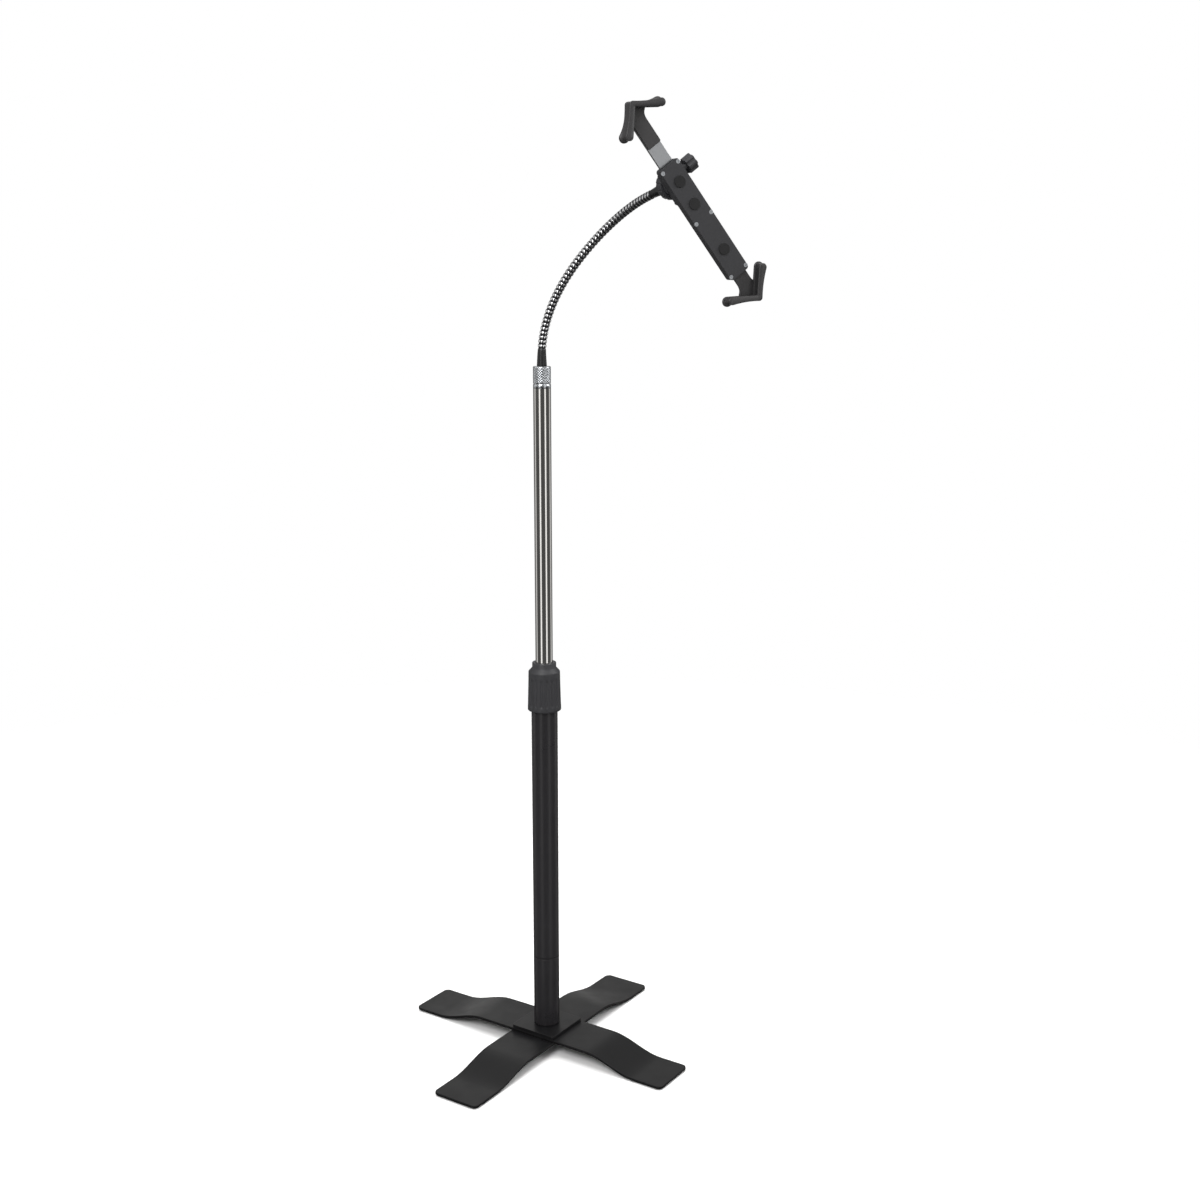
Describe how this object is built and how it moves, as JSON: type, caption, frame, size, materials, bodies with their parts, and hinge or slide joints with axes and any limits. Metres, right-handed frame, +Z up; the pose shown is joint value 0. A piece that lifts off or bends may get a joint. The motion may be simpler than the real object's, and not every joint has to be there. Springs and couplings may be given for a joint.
{
  "type": "tablet floor stand",
  "caption": "Floor stand with crossed flat legs, telescopic pole with twist lock, ribbed chrome gooseneck and a sliding corner-grip tablet cradle on a ball joint.",
  "frame": {"origin": "on the pole axis at floor level", "axes": "+Z up along the pole, -Y the way the cradle faces, +X to the right seen from the front"},
  "size_m": [0.436, 0.4249, 1.3564],
  "materials": {
    "black_steel": "satin black powder coat",
    "chrome": "polished",
    "silver": "knurled",
    "zinc_steel": "zinc plated",
    "aluminium": "satin",
    "black_plastic": "fine grain",
    "rubber": "matt"
  },
  "bodies": {
    "base": {"lower_bar": "black_steel", "upper_bar": "black_steel", "foot_pads": "rubber", "pole_foot": "black_steel", "base_bolt": "zinc_steel", "base_washer": "zinc_steel", "base_screws": "zinc_steel", "base_post": "black_steel", "post_plug": "zinc_steel", "joint_plug": "zinc_steel", "outer_tube": "black_steel", "collet_bush": "black_plastic"},
    "lock_collar": {"lock_collar": "black_plastic"},
    "glide": {"glide_bush": "black_plastic"},
    "upper_pole": {"inner_tube": "chrome", "end_plug": "black_plastic", "ferrule": "silver", "lower_sleeve": "black_plastic"},
    "neck_1": {"neck_link_1": "chrome"},
    "neck_2": {"neck_link_2": "chrome"},
    "neck_3": {"neck_link_3": "chrome"},
    "neck_4": {"neck_link_4": "chrome"},
    "neck_5": {"neck_link_5": "chrome"},
    "neck_6": {"neck_link_6": "chrome"},
    "neck_7": {"neck_link_7": "chrome"},
    "neck_8": {"neck_link_8": "chrome"},
    "neck_9": {"neck_link_9": "chrome"},
    "neck_10": {"neck_link_10": "chrome"},
    "neck_11": {"neck_link_11": "chrome"},
    "neck_12": {"neck_link_12": "chrome", "upper_sleeve": "black_plastic", "ball_stud": "zinc_steel"},
    "ball": {"ball": "zinc_steel"},
    "ball_seat": {"ball_seat": "black_plastic"},
    "cradle": {"socket_cup": "black_plastic", "socket_screws": "zinc_steel", "rail_channel": "black_plastic", "rail_cover": "black_plastic", "cover_screws": "zinc_steel", "back_buffers": "rubber", "lower_grip": "black_plastic", "lower_grip_linings": "rubber", "lower_grip_screws": "zinc_steel"},
    "clamp_ring": {"clamp_ring": "black_plastic"},
    "slider": {"slide_bar": "aluminium", "upper_grip": "black_plastic", "upper_grip_linings": "rubber", "upper_grip_screws": "zinc_steel"},
    "lock_knob": {"lock_knob": "black_plastic", "knob_screw": "zinc_steel"}
  },
  "joints": [
    {"name": "lock_twist", "type": "hinge", "parent": "base", "child": "lock_collar", "pos_m": [0, 0, 0.555], "axis": [0, 0, 1], "range_deg": [0, 120]},
    {"name": "height_slide", "type": "slide", "parent": "base", "child": "glide", "axis": [0, 0, 1], "range_m": [-0.245, 0.055]},
    {"name": "pole_swivel", "type": "hinge", "parent": "glide", "child": "upper_pole", "pos_m": [0, 0, 0.44], "axis": [0, 0, 1], "continuous": true},
    {"name": "neck_lower_bend", "type": "hinge", "parent": "upper_pole", "child": "neck_1", "pos_m": [0, 0, 1.038], "axis": [0.6225, 0.7826, 0], "range_deg": [-17.6, 4]},
    {"name": "neck_bend_2", "type": "hinge", "parent": "neck_1", "child": "neck_2", "pos_m": [0.00287, -0.00229, 1.06172], "axis": [0.6225, 0.7826, 0], "range_deg": [-15.82, 3.61]},
    {"name": "neck_bend_3", "type": "hinge", "parent": "neck_2", "child": "neck_3", "pos_m": [0.00827, -0.00658, 1.08471], "axis": [0.6225, 0.7826, 0], "range_deg": [-14.02, 3.2]},
    {"name": "neck_bend_4", "type": "hinge", "parent": "neck_3", "child": "neck_4", "pos_m": [0.01582, -0.01258, 1.10668], "axis": [0.6225, 0.7826, 0], "range_deg": [-12.22, 2.79]},
    {"name": "neck_bend_5", "type": "hinge", "parent": "neck_4", "child": "neck_5", "pos_m": [0.02516, -0.02001, 1.12751], "axis": [0.6225, 0.7826, 0], "range_deg": [-10.42, 2.38]},
    {"name": "neck_bend_6", "type": "hinge", "parent": "neck_5", "child": "neck_6", "pos_m": [0.03593, -0.02858, 1.14717], "axis": [0.6225, 0.7826, 0], "range_deg": [-8.62, 1.98]},
    {"name": "neck_bend_7", "type": "hinge", "parent": "neck_6", "child": "neck_7", "pos_m": [0.04782, -0.03804, 1.16574], "axis": [0.6225, 0.7826, 0], "range_deg": [-6.82, 1.56]},
    {"name": "neck_upper_bend", "type": "hinge", "parent": "neck_7", "child": "neck_8", "pos_m": [0.06056, -0.04817, 1.18338], "axis": [0.8176, 0.0267, -0.5751], "range_deg": [-18, 3.5]},
    {"name": "neck_bend_9", "type": "hinge", "parent": "neck_8", "child": "neck_9", "pos_m": [0.0723, -0.06158, 1.19945], "axis": [0.8176, 0.0267, -0.5751], "range_deg": [-18.02, 3.52]},
    {"name": "neck_bend_10", "type": "hinge", "parent": "neck_9", "child": "neck_10", "pos_m": [0.08277, -0.07794, 1.21356], "axis": [0.8176, 0.0267, -0.5751], "range_deg": [-18.02, 3.52]},
    {"name": "neck_bend_11", "type": "hinge", "parent": "neck_10", "child": "neck_11", "pos_m": [0.09168, -0.09684, 1.22536], "axis": [0.8176, 0.0267, -0.5751], "range_deg": [-18.02, 3.52]},
    {"name": "neck_bend_12", "type": "hinge", "parent": "neck_11", "child": "neck_12", "pos_m": [0.09884, -0.11782, 1.23456], "axis": [0.8176, 0.0267, -0.5751], "range_deg": [-18.02, 3.52]},
    {"name": "ball_spin", "type": "hinge", "parent": "neck_12", "child": "ball", "pos_m": [0.1132, -0.17981, 1.25208], "axis": [0.2175, -0.9392, 0.2656], "continuous": true},
    {"name": "ball_tilt", "type": "hinge", "parent": "ball", "child": "ball_seat", "pos_m": [0.1132, -0.17981, 1.25208], "axis": [0.7736, 0, -0.6336], "range_deg": [-60, 19]},
    {"name": "cradle_roll", "type": "hinge", "parent": "ball_seat", "child": "cradle", "pos_m": [0.1132, -0.17981, 1.25208], "axis": [0, -1, 0], "continuous": true},
    {"name": "ring_twist", "type": "hinge", "parent": "cradle", "child": "clamp_ring", "pos_m": [0.1132, -0.17981, 1.25208], "axis": [0, -1, 0], "range_deg": [0, 90]},
    {"name": "grip_slide", "type": "slide", "parent": "cradle", "child": "slider", "axis": [-0.6054, 0, 0.7959], "range_m": [-0.045, 0.075]},
    {"name": "knob_twist", "type": "hinge", "parent": "cradle", "child": "lock_knob", "pos_m": [0.11847, -0.20211, 1.26992], "axis": [0.7959, 0, 0.6054], "range_deg": [0, 270]}
  ],
  "couplings": [
    {"joint": "neck_bend_2", "follows": "neck_lower_bend", "ratio": 0.89773},
    {"joint": "neck_bend_3", "follows": "neck_lower_bend", "ratio": 0.79546},
    {"joint": "neck_bend_4", "follows": "neck_lower_bend", "ratio": 0.69318},
    {"joint": "neck_bend_5", "follows": "neck_lower_bend", "ratio": 0.59091},
    {"joint": "neck_bend_6", "follows": "neck_lower_bend", "ratio": 0.48864},
    {"joint": "neck_bend_7", "follows": "neck_lower_bend", "ratio": 0.38636},
    {"joint": "neck_bend_9", "follows": "neck_upper_bend", "ratio": 1},
    {"joint": "neck_bend_10", "follows": "neck_upper_bend", "ratio": 1},
    {"joint": "neck_bend_11", "follows": "neck_upper_bend", "ratio": 1},
    {"joint": "neck_bend_12", "follows": "neck_upper_bend", "ratio": 1}
  ]
}
